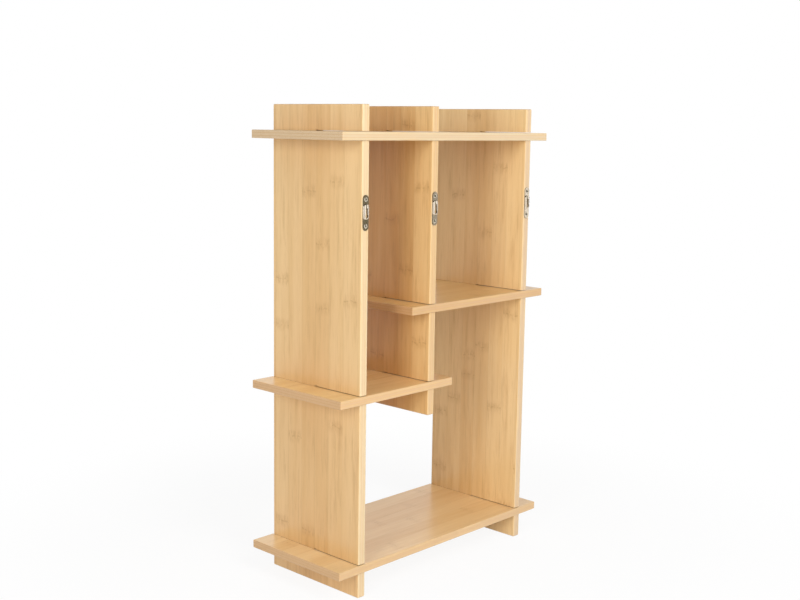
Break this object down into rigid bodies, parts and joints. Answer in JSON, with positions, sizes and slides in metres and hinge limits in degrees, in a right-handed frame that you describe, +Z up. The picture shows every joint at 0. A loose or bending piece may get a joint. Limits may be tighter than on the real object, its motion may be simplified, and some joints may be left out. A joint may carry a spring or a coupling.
{
  "type": "plant stand",
  "caption": "Open plant stand of bamboo boards joined by halved slots, with staggered shelves at uneven heights and keyhole plates on one side for hanging it on a wall.",
  "frame": {"origin": "on the floor under the stand, in the middle of its overall box", "axes": "+X along the shelves to the right as seen from the side with the keyhole plates, +Y from the plates to the other side, +Z up"},
  "size_m": [0.453, 0.1898, 0.7],
  "materials": {
    "panel_bamboo": "satin clear lacquer, grain upright",
    "shelf_bamboo": "satin clear lacquer, grain along the shelf",
    "hanger_steel": "bright nickel plate",
    "screw_steel": "bright nickel plate"
  },
  "bodies": {
    "root": {"left_panel": "panel_bamboo", "centre_panel": "panel_bamboo", "right_panel": "panel_bamboo", "top_shelf": "shelf_bamboo", "upper_right_shelf": "shelf_bamboo", "lower_left_shelf": "shelf_bamboo", "bottom_shelf": "shelf_bamboo", "left_hanger_plate": "hanger_steel", "left_hanger_upper_screw": "screw_steel", "left_hanger_lower_screw": "screw_steel", "centre_hanger_plate": "hanger_steel", "centre_hanger_upper_screw": "screw_steel", "centre_hanger_lower_screw": "screw_steel", "right_hanger_plate": "hanger_steel", "right_hanger_upper_screw": "screw_steel", "right_hanger_lower_screw": "screw_steel"}
  },
  "joints": []
}
